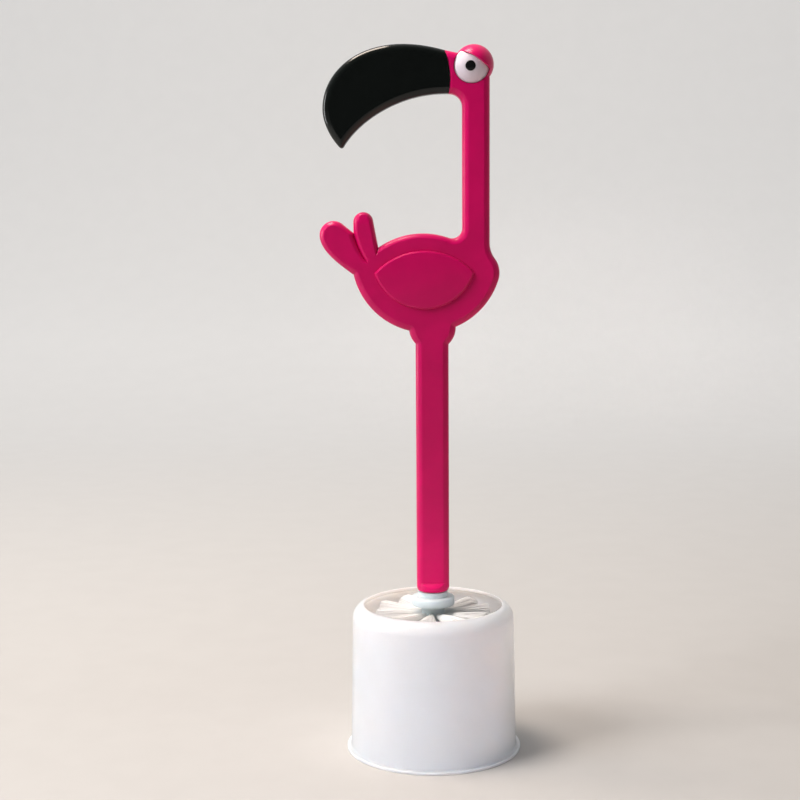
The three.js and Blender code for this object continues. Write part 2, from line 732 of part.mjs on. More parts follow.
function holderCover() {
  const lowInner = HOLDER_LOW_RADIUS - HOLDER_WALL;
  return revolve(
    [
      [lowInner, 0],
      [FOOT.r - 0.3, 0],
      [FOOT.r, 0.4],
      [FOOT.r, FOOT.high - 0.4],
      [FOOT.r - 0.4, FOOT.high],
      [HOLDER_LOW_RADIUS + 1, FOOT.high],
      [HOLDER_LOW_RADIUS, FOOT.high + 1],
      ...shoulderArc(SHOULDER.r, 5),
      [MOUTH_RADIUS, SHOULDER.z + SHOULDER.r - 1],
      ...shoulderArc(SHOULDER.r - HOLDER_WALL, 3).reverse(),
      [lowInner, 0],
    ],
    HOLDER_SIDES,
  );
}

function dripTray() {
  const inner = TRAY.r - TRAY.wall;
  return revolve(
    [
      [0, 0],
      [TRAY.r - 0.5, 0],
      [TRAY.r, 0.5],
      [TRAY.r - 0.2, TRAY.high - 0.4],
      [TRAY.r - 0.6, TRAY.high],
      [inner + 0.2, TRAY.high],
      [inner - 0.2, TRAY.high - 0.4],
      [inner - 0.4, TRAY.floor + 1],
      [inner - 1.4, TRAY.floor],
      [0, TRAY.floor],
    ],
    HOLDER_SIDES,
  );
}

// ---------------------------------------------------------------- the assembly

const PINK = { color: 0xc2185b, roughness: 0.45, metalness: 0 };
const BLACK = { color: 0x0a0c0b, roughness: 0.15, metalness: 0 };
const WHITE = { color: 0xf2f0f2, roughness: 0.3, metalness: 0 };
const MILKY = { color: 0xf4f1f0, roughness: 0.35, metalness: 0 };
const PALE_BLUE = { color: 0xe3eaf0, roughness: 0.4, metalness: 0 };
const BRISTLE = { color: 0xf5f3ee, roughness: 0.6, metalness: 0 };
const BRASS = { color: 0xb99a5b, roughness: 0.35, metalness: 1 };

const model = new THREE.Group();

function place(name, shape, material) {
  const mesh = new THREE.Mesh(toGeometry(shape), new THREE.MeshStandardMaterial(material));
  mesh.name = name;
  model.add(mesh);
}

place("handle_front_shell", frontShell(), PINK);
place("handle_back_shell", backShell(), PINK);
place("beak_front_shell", beakHalf(), BLACK);
place("beak_back_shell", mirrored(beakHalf()), BLACK);
place("eye_front", eye(), WHITE);
place("eye_back", mirrored(eye()), WHITE);
place("pupil_front", pupil(), BLACK);
place("pupil_back", mirrored(pupil()), BLACK);
place("threaded_insert", threadedInsert(), BRASS);
place("brush_core", brushCore(), PALE_BLUE);
for (let k = 0; k < TUFTS; k += 1) {
  const name = `top_tuft_${String(k + 1).padStart(2, "0")}`;
  place(name, tuft(RING_TOP, tuftAngle(0, k)), BRISTLE);
}
for (let ring = 1; ring < RINGS; ring += 1) {
  place(`bristle_ring_${ring + 1}`, bristleRing(ring), BRISTLE);
}
place("bristle_tip", bristleTip(), BRISTLE);
place("holder_cover", holderCover(), MILKY);
place("drip_tray", dripTray(), WHITE);

export default model;
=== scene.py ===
"""Looks of the flamingo toilet brush in its holder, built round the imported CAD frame.

Lengths in the shape functions are millimetres, in the frame's own axes: the bird looks towards -X,
its front faces -Y, and +Z is up. Meshes are scaled to metres as they are made. Outlines are drawn
in the X-Z plane, and heights on a front half are measured from the parting plane towards -Y.
"""

import math
import random

import bpy
import numpy as np
from mathutils import Matrix, Vector
from mathutils.geometry import delaunay_2d_cdt, tessellate_polygon


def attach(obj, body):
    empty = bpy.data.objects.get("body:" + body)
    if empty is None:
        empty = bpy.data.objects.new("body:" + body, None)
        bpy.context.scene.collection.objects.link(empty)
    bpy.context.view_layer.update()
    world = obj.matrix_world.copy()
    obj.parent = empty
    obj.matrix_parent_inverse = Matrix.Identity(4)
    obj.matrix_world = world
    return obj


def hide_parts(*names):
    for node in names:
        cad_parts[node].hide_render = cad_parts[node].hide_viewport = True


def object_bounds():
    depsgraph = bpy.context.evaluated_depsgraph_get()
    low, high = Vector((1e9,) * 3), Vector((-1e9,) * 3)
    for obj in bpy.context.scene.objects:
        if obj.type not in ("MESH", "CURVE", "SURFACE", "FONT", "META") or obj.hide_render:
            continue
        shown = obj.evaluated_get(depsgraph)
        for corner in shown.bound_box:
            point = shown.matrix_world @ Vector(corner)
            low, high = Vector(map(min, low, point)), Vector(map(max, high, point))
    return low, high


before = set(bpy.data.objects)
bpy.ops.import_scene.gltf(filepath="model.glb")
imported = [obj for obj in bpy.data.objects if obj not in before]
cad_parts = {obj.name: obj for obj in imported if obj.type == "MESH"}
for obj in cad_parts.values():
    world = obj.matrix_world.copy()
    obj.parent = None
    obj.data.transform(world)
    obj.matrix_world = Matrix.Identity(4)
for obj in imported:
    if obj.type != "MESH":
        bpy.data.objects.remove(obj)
cad_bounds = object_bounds()

MM = 0.001

# ------------------------------------------------------------------ sizes, as in the CAD source

PLATE_HALF = 7.0
EDGE_HALF = 3.3
BEVEL = 3.8
BEVEL_ARC = math.radians(58)

LEG_HALF = 10.4
LEG_BOTTOM = 100.0
LEG_CUT = 106.6
NECK_LEFT = 19.3
NECK_RIGHT = 36.4
HIP = (0.2, 274.5, 14.8)
BELLY = (-3.1, 318.3, 47.2)
BACK = (-5.6, 284.2, 49.2)
BREAST_RADIUS = 15.0
BREAST_ANGLE = math.radians(-17.5)
BREAST_FILLET = 16.0
GAP_FILLET = 6.3
CHIN_FILLET = 8.0
TAIL_LOW = (-61.5, 332.9, 8.7)
TAIL_HIGH = (-42.8, 340.8, 6.2)
TAIL_BACK_NOTCH_X = -33.5
TAIL_FORK = (-48.9, 333.8)
TAIL_BELLY_NOTCH = (-49.6, 308.2)

BALL = (26.7, 437.4, 12.4)
BALL_HALF = 12.8
HEAD_PLATE_RADIUS = 11.0
CROWN = (17.9, 444.0)
EYE = (25.1, 436.6)
EYE_RADIUS = 10.9
EYE_TOP = 10.9
EYE_BASE = 6.0
EYE_FLOOR = 3.8
EYE_GAP = 0.3
POCKET_FLOOR = 3.5
PUPIL = (24.25, 436.1)
PUPIL_RADIUS = 3.15
PUPIL_LOW = 9.4
PUPIL_HIGH = 11.0
LID_SLOPE = 0.26
LID_OFFSET = 0.95
LID_WALL = 1.3
LID_ANGLE = math.radians(57.5)
JOINT_TOP = (8.4, 446.1)
JOINT_LOW = (10.9, 419.5)
JOINT_BULGE = (13.45, 433.2)
JOINT_GAP = 0.12

WING_LEFT = -35.9
WING_RIGHT = 26.5
WING_Z = 309.0
WING_TOP = 322.9
WING_LOW = 286.2
WING_RISE = 1.9
WING_BEVEL = 1.6

COLLAR_RADIUS = 10.25
COLLAR_LOW = 104.1
COLLAR_EDGE = 1.7
COLLAR_HIGH = 107.1
COLLAR_RAMP = 109.8
SOCKET_RADIUS = 4.4

NECK_RING_RADIUS = 9.5
NECK_RING_HIGH = 103.8
FLANGE_RADIUS = 13.8
FLANGE_LOW = 94.7
FLANGE_HIGH = 100.3
CORE_RADIUS = 7.5
CORE_LOW = 15.0
STUD_RADIUS = 3.8
STUD_HIGH = 125.0
BRISTLE_RADIUS = 37.5
TUFTS = 10
TUFT_TURN = math.radians(9)
RING_TOP = 88.2
RING_PITCH = 13.0
RINGS = 6
TUFT_ROOT = 1.7
TUFT_WIDE = 7.2
TUFT_TALL = 5.4
TIP_LOW = 2.3
TIP_HIGH = 14.6
TIP_RADIUS = 33.0

FOOT_RADIUS = 56.5
FOOT_HIGH = 1.9
HOLDER_WALL = 2.0
HOLDER_LOW_RADIUS = 53.7
HOLDER_HIGH_RADIUS = 52.1
SHOULDER_RADIUS = 9.0
SHOULDER_Z = 86.2
MOUTH_RADIUS = 44.5
TRAY_RADIUS = 51.2
TRAY_WALL = 1.8
TRAY_FLOOR = 2.0
TRAY_HIGH = 11.0

# ------------------------------------------------------------------ sizes used for looks only

SEAM = 0.005  # each half's gap to the middle. In CAD it is 0.06, which would let light through
SEAM_EDGE = 0.22  # small round on the edges that meet at the seam
WING_STEPS = 9  # rings round the wing's rounded edge
TAIL_BEVEL = 2.7  # the bevel is narrower round the tail and along the back
BEVEL_RINGS = (0.15, 0.5, 1.0, 1.6, 2.2, 2.7, 3.1, 3.5, 3.8, 4.1)  # distances in from the outline
JOINT_EDGE = 1.5  # width of the eased edge that the pink side has along the beak
JOINT_DROP = 0.45
COLLAR_LEDGE = 0.5  # the ramp's top edge stands this far out from the leg's face
COLLAR_ROUND = 0.42
TRIM_REACH = 60.0  # edge length of the blocks that trim a shape along a slanted plane
CURVE_STEP = 0.7  # longest step between points on a curve
LINE_STEP = 2.5  # longest step between points on a straight line
THREAD_PITCH = 1.5
THREAD_DEPTH = 0.45
FILAMENTS = 80  # bristles in one tuft
TIP_FILAMENTS = 420
FILAMENT_RADIUS = 0.36
TIP_CURL_START = 22.0  # the end's bristles rise with the square of the distance past this radius
TIP_CURL = 0.055
GOLDEN_TURN = math.pi * (3 - math.sqrt(5))  # spreads the bristles of a tuft evenly

# ------------------------------------------------------------------ colours (linear)

PINK = (0.64, 0.0022, 0.118)
BLACK = (0.004, 0.0055, 0.005)
EYE_WHITE = (0.78, 0.7, 0.78)
STEM_BLUE = (0.6, 0.69, 0.72)
MILKY = (0.985, 0.955, 0.97)
TRAY_WHITE = (0.78, 0.77, 0.77)
NYLON = (0.99, 0.98, 0.95)
PUPIL_BLACK = (0.006, 0.006, 0.007)
BRASS = (0.56, 0.4, 0.17)
FLOOR_DARKER = (0.48, 0.47, 0.46)
FLOOR_LIGHTER = (0.49, 0.48, 0.47)
WARM_LAMP = (1, 0.85, 0.72)
FILL_PINK = (1, 0.89, 0.92)
TABLE_RED = (1, 0.3, 0.16)

# ------------------------------------------------------------------ camera and room (metres)

LENS = 72.0
SENSOR = 36.0
CAMERA_X = -0.0196
CAMERA_Y = -1.0105
CAMERA_HEIGHT = 0.361  # above the object's lowest point
CAMERA_DOWN = math.radians(7.5)
CAMERA_ROLL = math.radians(0.4)  # the object leans by this much in the photo

ROOM_DIM = 0.06  # strength of the white room in front of the object
ROOM_BRIGHT = 0.8  # and behind it
FLOOR_NEAR = -12.0
FLOOR_TURN = 1.3  # where the floor starts to curve up
FLOOR_CURVE = 0.8
FLOOR_STEPS = 24
WALL_TOP = 3.0
WALL_GLOW = 0.42  # evens out the fall of light towards the wall
GLOW_START = 0.1
GLOW_END = 1.7
ROOM_HALF_WIDTH = 12.0

# ------------------------------------------------------------------ curves


def angle_to(circle, point):
    return math.atan2(point[1] - circle[1], point[0] - circle[0])


def on_circle(circle, angle):
    return (circle[0] + circle[2] * math.cos(angle), circle[1] + circle[2] * math.sin(angle))


def crossing(a, b, side):
    """The crossing of two circles that lies on the given side (+1 right, -1 left)."""
    gap = math.hypot(b[0] - a[0], b[1] - a[1])
    along = (gap * gap + a[2] * a[2] - b[2] * b[2]) / (2 * gap)
    across = math.sqrt(a[2] * a[2] - along * along)
    ux, uz = (b[0] - a[0]) / gap, (b[1] - a[1]) / gap
    hits = [
        (a[0] + ux * along - uz * across * turn, a[1] + uz * along + ux * across * turn)
        for turn in (1, -1)
    ]
    return max(hits, key=lambda point: side * point[0])


def touch_angle(circle, point, side):
    """Where the straight line from a point touches a circle, as an angle on the circle."""
    away = math.hypot(point[0] - circle[0], point[1] - circle[1])
    return angle_to(circle, point) + side * math.acos(circle[2] / away)


def arc(circle, start, end, clockwise=False):
    turn = 2 * math.pi
    sweep = (start - end) % turn if clockwise else (end - start) % turn
    count = max(3, math.ceil(sweep * circle[2] / CURVE_STEP))
    sign = -1 if clockwise else 1
    return [on_circle(circle, start + sign * sweep * i / count) for i in range(count + 1)]


def line(start, end):
    count = max(1, math.ceil(math.dist(start, end) / LINE_STEP))
    return [tuple(np.array(start) + (np.array(end) - start) * i / count) for i in range(count + 1)]


def bezier(*controls, step=CURVE_STEP):
    """A Bezier curve of any degree through evenly spaced parameters."""
    controls = np.array(controls, float)
    length = np.linalg.norm(np.diff(controls, axis=0), axis=1).sum()
    count = max(4, math.ceil(length / step))
    degree = len(controls) - 1
    t = np.linspace(0, 1, count + 1)[:, None]
    terms = [
        math.comb(degree, k) * (1 - t) ** (degree - k) * t**k * controls[k] for k in range(degree + 1)
    ]
    return [tuple(point) for point in sum(terms)]


def bent(start, middle, end, t):
    """The point at a share t along a quadratic curve."""
    return start * (1 - t) ** 2 + middle * 2 * t * (1 - t) + end * t * t


def joined(*runs):
    """One open run of points from several, without doubled points."""
    points = []
    for run in runs:
        for point in run:
            if not points or math.dist(points[-1], point) > 0.02:
                points.append(point)
    return points


def closed(*runs):
    points = joined(*runs)
    if math.dist(points[0], points[-1]) < 0.02:
        points.pop()
    return np.array(points)


# ------------------------------------------------------------------ the bird's outline


def height_on(circle, x, side):
    """The Z of a circle at a given X, on its upper (+1) or lower (-1) side."""
    return circle[1] + side * math.sqrt(circle[2] ** 2 - (x - circle[0]) ** 2)


def breast_side():
    """From the foot of the leg up the breast side and round the head to the top of the joint."""
    reach = BELLY[2] - BREAST_RADIUS
    breast = (*on_circle((BELLY[0], BELLY[1], reach), BREAST_ANGLE), BREAST_RADIUS)
    hip_right = crossing(HIP, BELLY, 1)
    leg_right = (LEG_HALF, height_on(HIP, LEG_HALF, -1))
    hollow_x = NECK_RIGHT + BREAST_FILLET
    rise = math.sqrt((BREAST_RADIUS + BREAST_FILLET) ** 2 - (hollow_x - breast[0]) ** 2)
    hollow = (hollow_x, breast[1] + rise, BREAST_FILLET)
    head = (BALL[0], BALL[1], HEAD_PLATE_RADIUS)
    nape = (NECK_RIGHT, height_on(head, NECK_RIGHT, -1))
    return joined(
        line((LEG_HALF, LEG_BOTTOM), leg_right),
        arc(HIP, angle_to(HIP, leg_right), angle_to(HIP, hip_right)),
        arc(BELLY, angle_to(BELLY, hip_right), BREAST_ANGLE),
        arc(breast, BREAST_ANGLE, angle_to(breast, hollow)),
        arc(hollow, angle_to(hollow, breast), math.pi, clockwise=True),
        line((NECK_RIGHT, hollow[1]), nape),
        arc(head, angle_to(head, nape), angle_to(head, CROWN)),
        line(CROWN, JOINT_TOP),
    )


def beak_side():
    """The beak's free edge, from the top of its joint round the tip to the low end of the joint."""
    return joined(
        bezier(JOINT_TOP, (-37.7, 459.4), (-67.4, 436.5), (-67.4, 410.5)),
        bezier((-67.4, 410.5), (-67.4, 403), (-63.5, 394), (-57.2, 387.2)),
        bezier((-57.2, 387.2), (-55.9, 385.9), (-54.5, 387.2)),
        bezier((-54.5, 387.2), (-46, 401.5), (-21, 420.3), JOINT_LOW),
    )


def tail_side():
    """From the low end of the joint down the neck, along the back, round the tail to the foot."""
    chin = (NECK_LEFT - CHIN_FILLET, JOINT_LOW[1] - CHIN_FILLET, CHIN_FILLET)
    gap_x = NECK_LEFT - GAP_FILLET
    gap_z = BACK[1] + math.sqrt((BACK[2] + GAP_FILLET) ** 2 - (gap_x - BACK[0]) ** 2)
    gap = (gap_x, gap_z, GAP_FILLET)
    back_notch = (TAIL_BACK_NOTCH_X, height_on(BACK, TAIL_BACK_NOTCH_X, 1))
    hip_left = crossing(HIP, BELLY, -1)
    leg_left = (-LEG_HALF, height_on(HIP, -LEG_HALF, -1))
    return joined(
        arc(chin, math.pi / 2, 0, clockwise=True),
        line((NECK_LEFT, chin[1]), (NECK_LEFT, gap[1])),
        arc(gap, 0, angle_to(gap, BACK), clockwise=True),
        arc(BACK, angle_to(BACK, gap), angle_to(BACK, back_notch)),
        line(back_notch, on_circle(TAIL_HIGH, touch_angle(TAIL_HIGH, back_notch, 1))),
        arc(TAIL_HIGH, touch_angle(TAIL_HIGH, back_notch, 1), touch_angle(TAIL_HIGH, TAIL_FORK, -1)),
        line(on_circle(TAIL_HIGH, touch_angle(TAIL_HIGH, TAIL_FORK, -1)), TAIL_FORK),
        line(TAIL_FORK, on_circle(TAIL_LOW, touch_angle(TAIL_LOW, TAIL_FORK, 1))),
        arc(TAIL_LOW, touch_angle(TAIL_LOW, TAIL_FORK, 1), math.pi),
        bezier((TAIL_LOW[0] - TAIL_LOW[2], TAIL_LOW[1]), (-70.2, 323), (-58, 314.5), TAIL_BELLY_NOTCH),
        arc(BELLY, angle_to(BELLY, TAIL_BELLY_NOTCH), angle_to(BELLY, hip_left)),
        arc(HIP, angle_to(HIP, hip_left), angle_to(HIP, leg_left)),
        line(leg_left, (-LEG_HALF, LEG_BOTTOM)),
    )


def joint_curve(move):
    """The joint between head and beak, from top to low end, moved towards the beak."""
    points = (JOINT_TOP, JOINT_BULGE, JOINT_LOW)
    return bezier(*[(x - move, z) for x, z in points], step=0.3)


def above_foot(run):
    """A run with what lies below the leg's cut end taken off."""
    return [point for point in run if point[1] > LEG_CUT + 0.4]


def beak_free_edge():
    """The beak's free edge without its two ends, where the joint takes over."""
    ends = (JOINT_TOP, JOINT_LOW)
    return [point for point in beak_side() if min(math.dist(point, end) for end in ends) > 0.3]


whole_outline = closed(
    breast_side(),
    beak_side(),
    tail_side(),
    line((-LEG_HALF, LEG_BOTTOM), (LEG_HALF, LEG_BOTTOM)),
)
handle_outline = closed(
    line((-LEG_HALF, LEG_CUT), (LEG_HALF, LEG_CUT)),
    above_foot(breast_side()),
    joint_curve(0),
    above_foot(tail_side()),
)
beak_outline = closed(beak_free_edge(), joint_curve(JOINT_GAP)[::-1])


def distances(points, loop, is_closed=True):
    """Distance from each point to the nearest part of a loop or an open run."""
    points = np.asarray(points, float)
    loop = np.asarray(loop, float)
    starts = loop if is_closed else loop[:-1]
    runs = (np.roll(loop, -1, axis=0) if is_closed else loop[1:]) - starts
    lengths = (runs**2).sum(axis=1)
    nearest = np.empty(len(points))
    batch = 2000
    for first in range(0, len(points), batch):
        away = points[first : first + batch, None, :] - starts[None]
        along = np.clip((away * runs).sum(axis=2) / lengths, 0, 1)
        gaps = away - along[..., None] * runs
        nearest[first : first + batch] = np.sqrt((gaps**2).sum(axis=2).min(axis=1))
    return nearest


def are_inside(points, loop):
    """Whether each point lies inside a loop."""
    points = np.asarray(points, float)
    crossings = np.zeros(len(points), int)
    for start, end in zip(loop, np.roll(loop, -1, axis=0)):
        spans = (start[1] > points[:, 1]) != (end[1] > points[:, 1])
        rise = end[1] - start[1]
        if rise != 0:
            at = start[0] + (points[:, 1] - start[1]) * (end[0] - start[0]) / rise
            crossings += spans & (points[:, 0] < at)
    return crossings % 2 == 1


def ring_run(loop, distance):
    """Points at one distance inside a counter-clockwise loop, with links between neighbours."""
    ahead = np.roll(loop, -1, axis=0) - loop
    ahead /= np.linalg.norm(ahead, axis=1)[:, None]
    before = np.roll(ahead, 1, axis=0)
    candidates = []
    for point, first, second in zip(loop, before, ahead):
        start = math.atan2(first[0], -first[1])
        turn = math.atan2(first[0] * second[1] - first[1] * second[0], float(first @ second))
        fan = max(1, math.ceil(-turn / math.radians(12)))
        for i in range(fan + 1):
            angle = start + turn * i / fan
            candidates.append(point + distance * np.array((math.cos(angle), math.sin(angle))))
    candidates = np.array(candidates)
    kept = distances(candidates, loop) > distance - 0.012
    points, links = [], []
    last = None
    for candidate, keep in zip(candidates, kept):
        if not keep:
            last = None
            continue
        if last is not None and math.dist(points[last], candidate) < 0.08:
            continue
        points.append(tuple(candidate))
        if last is not None and math.dist(points[last], candidate) < LINE_STEP * 1.2:
            links.append((last, len(points) - 1))
        last = len(points) - 1
    return points, links


# ------------------------------------------------------------------ meshes


def make_mesh(name, vertices, faces, sharp=35):
    """A smooth-shaded object from millimetre vertices, with edges past an angle kept sharp."""
    mesh = bpy.data.meshes.new(name)
    mesh.from_pydata([tuple(float(value) * MM for value in vertex) for vertex in vertices], [], faces)
    mesh.validate()
    obj = bpy.data.objects.new(name, mesh)
    bpy.context.scene.collection.objects.link(obj)
    shade(obj, sharp)
    return obj


def shade(obj, sharp):
    mesh = obj.data
    mesh.polygons.foreach_set("use_smooth", [True] * len(mesh.polygons))
    mesh.set_sharp_from_angle(angle=math.radians(sharp))


def apply_modifier(obj, modifier):
    """Makes a modifier's result the object's own mesh."""
    bpy.context.view_layer.update()
    result = bpy.data.meshes.new_from_object(obj.evaluated_get(bpy.context.evaluated_depsgraph_get()))
    obj.modifiers.remove(modifier)
    old = obj.data
    obj.data = result
    bpy.data.meshes.remove(old)


def combine(obj, other, operation):
    """Joins, cuts or trims a closed mesh by another one, which is used up."""
    modifier = obj.modifiers.new("combine", "BOOLEAN")
    modifier.operation = operation
    modifier.solver = "MANIFOLD"
    modifier.object = other
    apply_modifier(obj, modifier)
    used = other.data
    bpy.data.objects.remove(other)
    bpy.data.meshes.remove(used)
    return obj


def union(obj, other):
    return combine(obj, other, "UNION")


def cut(obj, other):
    return combine(obj, other, "DIFFERENCE")


def trim(obj, other):
    return combine(obj, other, "INTERSECT")


def round_edges(obj, width):
    """Rounds a mesh's sharp edges by a width in millimetres."""
    modifier = obj.modifiers.new("round", "BEVEL")
    modifier.width = width * MM
    modifier.segments = 3
    modifier.limit_method = "ANGLE"
    modifier.angle_limit = math.radians(20)
    apply_modifier(obj, modifier)


def mirror_to_back(front, name, sharp=35):
    """A copy of a front piece, mirrored through the parting plane."""
    mesh = front.data.copy()
    mesh.transform(Matrix.Scale(-1, 4, (0, 1, 0)))
    mesh.flip_normals()
    back = bpy.data.objects.new(name, mesh)
    bpy.context.scene.collection.objects.link(back)
    shade(back, sharp)
    return back


def rounded(corners, steps=5):
    """A profile from corners given as (radius, height) or (radius, height, fillet)."""
    profile = []
    for i, corner in enumerate(corners):
        here = np.array(corner[:2], float)
        fillet = corner[2] if len(corner) > 2 else 0
        if fillet == 0 or i in (0, len(corners) - 1):
            profile.append(tuple(here))
            continue
        before = np.array(corners[i - 1][:2]) - here
        after = np.array(corners[i + 1][:2]) - here
        a = here + before / np.linalg.norm(before) * min(fillet, np.linalg.norm(before) * 0.48)
        b = here + after / np.linalg.norm(after) * min(fillet, np.linalg.norm(after) * 0.48)
        for t in np.linspace(0, 1, steps + 1):
            profile.append(tuple(bent(a, here, b, t)))
    return profile


def lathe(name, profile, sides, place=None, sharp=35, is_ring=False):
    """A solid of revolution about Z, or about a line along -Y through a place.

    The profile lists (radius, height). It starts and ends on the axis, unless it is a closed ring.
    """
    vertices, rows = [], []
    for radius, height in profile:
        count = 1 if radius == 0 else sides
        rows.append(range(len(vertices), len(vertices) + count))
        for k in range(count):
            angle = 2 * math.pi * k / sides
            a, b = radius * math.cos(angle), radius * math.sin(angle)
            if place is None:
                vertices.append((a, b, height))
            else:
                vertices.append((place[0] + a, -height, place[1] + b))
    pairs = list(zip(rows, rows[1:])) + ([(rows[-1], rows[0])] if is_ring else [])
    faces = []
    for low, high in pairs:
        if len(low) == 1 and len(high) == 1:
            continue
        for k in range(sides):
            after = (k + 1) % sides
            if len(low) == 1:
                faces.append((low[0], high[after], high[k]))
            elif len(high) == 1:
                faces.append((low[k], low[after], high[0]))
            else:
                faces.append((low[k], low[after], high[after], high[k]))
    return make_mesh(name, vertices, faces, sharp)


def block(name, size, matrix):
    """A box with the given edge lengths, centred on the origin and then moved by a matrix."""
    sides = [(-edge / 2, edge / 2) for edge in size]
    vertices = [matrix @ Vector((x, y, z)) for x in sides[0] for y in sides[1] for z in sides[2]]
    faces = [(0, 1, 3, 2), (4, 6, 7, 5), (0, 4, 5, 1), (2, 3, 7, 6), (0, 2, 6, 4), (1, 5, 7, 3)]
    return make_mesh(name, vertices, faces)


def front_space(name):
    """A block in front of the parting plane, larger than the object."""
    wide, deep, tall = 400, 60, 600
    return block(name, (wide, deep, tall), Matrix.Translation((0, -deep / 2 - SEAM, tall / 2 - 50)))


def stitched(rows):
    """Faces between rings of corner numbers, with a cap on the first and the last ring."""
    faces = [rows[0][::-1], rows[-1]]
    for low, high in zip(rows, rows[1:]):
        for k in range(len(low)):
            after = (k + 1) % len(low)
            faces.append([low[k], low[after], high[after], high[k]])
    return faces


# ------------------------------------------------------------------ the plate with its bevel


def eased_step(values, start, end):
    """Runs smoothly from 0 at start to 1 at end."""
    share = np.clip((values - start) / (end - start), 0, 1)
    return share * share * (3 - 2 * share)


def bevel_width(points):
    """The bevel's width by place: narrower round the tail and along the back."""
    x, z = points[:, 0], points[:, 1]
    share = eased_step(z, 300, 318) * eased_step(x, 18, 6) * eased_step(z, 372, 360)
    return BEVEL + (TAIL_BEVEL - BEVEL) * share


def bevel_height(distance, width=BEVEL):
    """Height of the plate's face at a distance in from the outline."""
    share = np.clip(distance / width, 0, 1)
    angle = np.arccos(1 - share * (1 - math.cos(BEVEL_ARC)))
    return EDGE_HALF + (PLATE_HALF - EDGE_HALF) * np.sin(angle) / math.sin(BEVEL_ARC)


def joint_ease(points):
    """How far the pink face drops towards its joint with the beak."""
    share = np.clip(1 - distances(points, joint_curve(0), is_closed=False) / JOINT_EDGE, 0, 1)
    return JOINT_DROP * share**2


def grid_points():
    """Extra points on the flat face around the tail's grooves, so that their edges shade cleanly."""
    grid = [(x, z) for x in np.arange(-56, -31, 0.7) for z in np.arange(312, 336, 0.7)]
    return np.array(grid)[distances(grid, whole_outline) > BEVEL + 0.5]


def boundary_loop(faces):
    """The outer edge of a counter-clockwise triangle sheet, in order."""
    edges = {(a, b) for face in faces for a, b in zip(face, face[1:] + face[:1])}
    following = {a: b for a, b in edges if (b, a) not in edges}
    start = next(iter(following))
    loop = [start]
    while following[loop[-1]] != start:
        loop.append(following[loop[-1]])
    return loop


def half_plate(name, outline, eased=False):
    """A closed front half: bevelled face, straight side wall and a flat side at the seam."""
    points = [tuple(point) for point in outline]
    count = len(points)
    links = [(i, (i + 1) % count) for i in range(count)]
    runs = [ring_run(whole_outline, distance) for distance in BEVEL_RINGS]
    if eased:
        for move in (-0.35, -0.75, -1.15, -1.5):
            run = joint_curve(move)[8:-8:2]
            runs.append((run, [(i, i + 1) for i in range(len(run) - 1)]))
        runs.append((grid_points(), []))
    for run, run_links in runs:
        inside = are_inside(run, outline) & (distances(run, outline) > 0.1)
        first = len(points)
        index = {}
        for k, (point, keep) in enumerate(zip(run, inside)):
            if keep:
                index[k] = first + len(index)
                points.append(tuple(point))
        links += [(index[a], index[b]) for a, b in run_links if a in index and b in index]
    sheet = delaunay_2d_cdt([Vector(point) for point in points], links, [list(range(count))], 1, 1e-4)
    flat = np.array([tuple(point) for point in sheet[0]])
    faces = [list(face) for face in sheet[2]]
    faces = [face if turns_left(flat, face) else face[::-1] for face in faces]
    heights = bevel_height(distances(flat, whole_outline), bevel_width(flat))
    if eased:
        heights -= joint_ease(flat)
    loop = boundary_loop(faces)
    edge = flat[loop]
    heights[loop] = np.where(distances(edge, whole_outline) < 0.03, EDGE_HALF, heights[loop])
    vertices = [(x, -height, z) for (x, z), height in zip(flat, heights)]
    lower = loop
    seam_round = ((0, SEAM + SEAM_EDGE), (SEAM_EDGE * 0.3, SEAM + SEAM_EDGE * 0.3), (SEAM_EDGE, SEAM))
    for move, height in seam_round:
        ring = [len(vertices) + k for k in range(len(loop))]
        vertices += [(x, -height, z) for x, z in moved_in(edge, move)]
        for k in range(len(loop)):
            after = (k + 1) % len(loop)
            faces.append([lower[after], lower[k], ring[k], ring[after]])
        lower = ring
    cap = tessellate_polygon([[Vector((vertices[k][0], vertices[k][2], 0)) for k in lower]])
    for face in cap:
        corners = [lower[k] for k in face]
        flat_corners = np.array([(vertices[k][0], vertices[k][2]) for k in corners])
        faces.append(corners[::-1] if turns_left(flat_corners, (0, 1, 2)) else corners)
    return make_mesh(name, vertices, faces)


def turns_left(points, face):
    a, b, c = (points[k] for k in face[:3])
    return (b[0] - a[0]) * (c[1] - a[1]) - (b[1] - a[1]) * (c[0] - a[0]) > 0


def moved_in(loop, distance):
    """A counter-clockwise loop with each point moved inwards, for small distances."""
    ahead = np.roll(loop, -1, axis=0) - loop
    ahead /= np.linalg.norm(ahead, axis=1)[:, None]
    mean = ahead + np.roll(ahead, 1, axis=0)
    mean /= np.linalg.norm(mean, axis=1)[:, None]
    return loop + distance * np.column_stack((-mean[:, 1], mean[:, 0]))


# ------------------------------------------------------------------ wing, groove and collar


